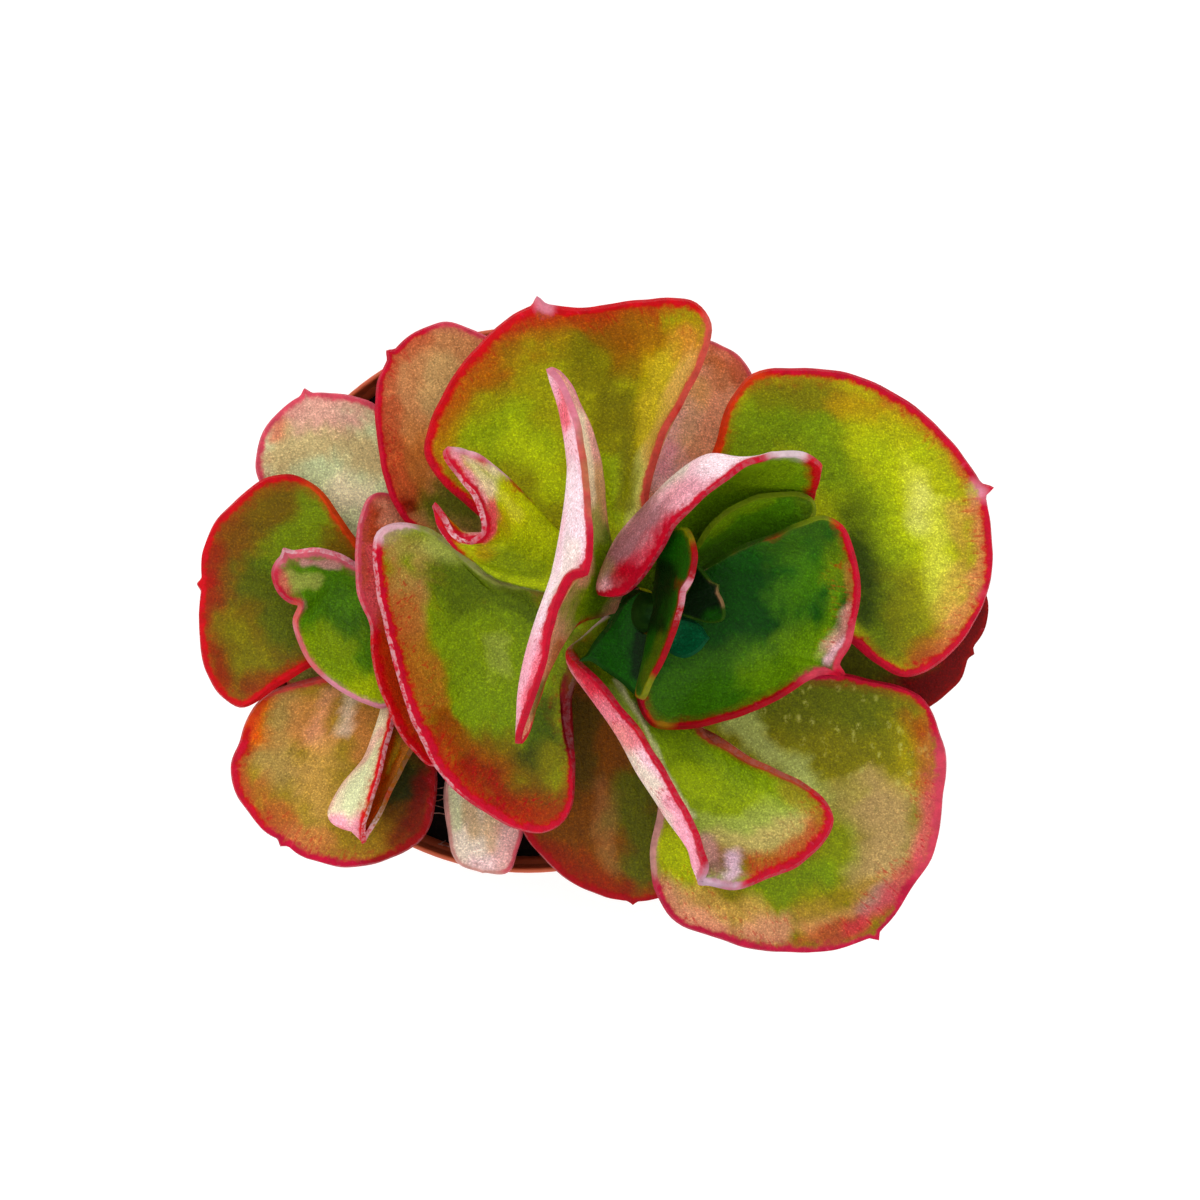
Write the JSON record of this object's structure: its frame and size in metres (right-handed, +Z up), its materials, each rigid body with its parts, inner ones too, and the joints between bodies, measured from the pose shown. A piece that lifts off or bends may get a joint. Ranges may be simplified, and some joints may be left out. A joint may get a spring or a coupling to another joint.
{
  "type": "potted echeveria",
  "caption": "Large red-edged echeveria with broad fleshy folded leaves on a leaning stem, a smaller offset rosette beside it, in a thin round plastic nursery pot filled with dark soil.",
  "frame": {"origin": "centre of the pot's flat underside", "axes": "+Z up along the pot's axis, +X towards the large rosette's overhanging east leaf, away from the small rosette"},
  "size_m": [0.1944, 0.1562, 0.201],
  "materials": {
    "pot_plastic": "satin",
    "potting_soil": "matte",
    "stem_bark": "matte",
    "leaf_yellow_green": "satin",
    "leaf_deep_green": "satin",
    "leaf_brown": "satin",
    "leaf_red": "satin",
    "leaf_pale": "satin",
    "leaf_pink": "satin"
  },
  "bodies": {
    "root": {"pot": "pot_plastic", "soil": "potting_soil", "main_stem": "stem_bark", "offset_stem": "stem_bark", "leaf_south_narrow": "leaf_pale", "leaf_south_low": "leaf_brown", "leaf_east_low": "leaf_brown", "leaf_north_low": "leaf_pale", "leaf_west_under": "leaf_red", "leaf_northwest_low": "leaf_brown", "leaf_southeast_broad": "leaf_yellow_green", "leaf_east_broad": "leaf_yellow_green", "leaf_north_broad": "leaf_yellow_green", "leaf_southwest_broad": "leaf_yellow_green", "leaf_west_curled": "leaf_yellow_green", "leaf_northeast_folded": "leaf_deep_green", "leaf_south_folded": "leaf_yellow_green", "leaf_west_upright": "leaf_pink", "leaf_east_dish": "leaf_deep_green", "leaf_northeast_inner": "leaf_deep_green", "leaf_heart_west": "leaf_deep_green", "leaf_heart_side": "leaf_deep_green", "leaf_heart_small": "leaf_deep_green", "leaf_heart_tall": "leaf_deep_green", "offset_leaf_north": "leaf_pale", "offset_leaf_west": "leaf_brown", "offset_leaf_south": "leaf_brown", "offset_leaf_low": "leaf_pale", "offset_leaf_folded": "leaf_pale", "offset_leaf_inner": "leaf_deep_green"}
  },
  "joints": []
}
